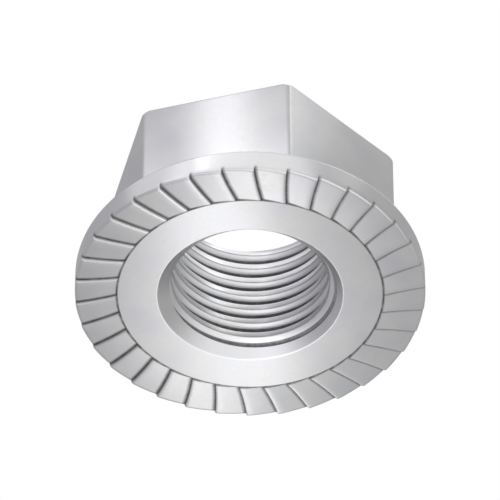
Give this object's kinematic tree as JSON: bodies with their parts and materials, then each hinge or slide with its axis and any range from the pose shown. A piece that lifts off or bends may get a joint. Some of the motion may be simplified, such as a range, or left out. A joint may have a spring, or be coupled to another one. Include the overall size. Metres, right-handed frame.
{
  "type": "serrated hex flange lock nut",
  "caption": "One-piece hexagon nut with a wide flange; curved ratchet serrations on the bearing face resist loosening.",
  "frame": {"origin": "on the bore's axis, in the plane of the tips of the serrations, on which the nut bears and stands", "axes": "+Z runs along the bore from the bearing face to the hexagon's top face; +X lies 15.3 degrees on from a hexagon corner"},
  "size_m": [0.019, 0.019, 0.0085],
  "materials": {
    "plated_steel": "bright clear zinc plating"
  },
  "bodies": {
    "root": {"flange_nut": "plated_steel"}
  },
  "joints": []
}
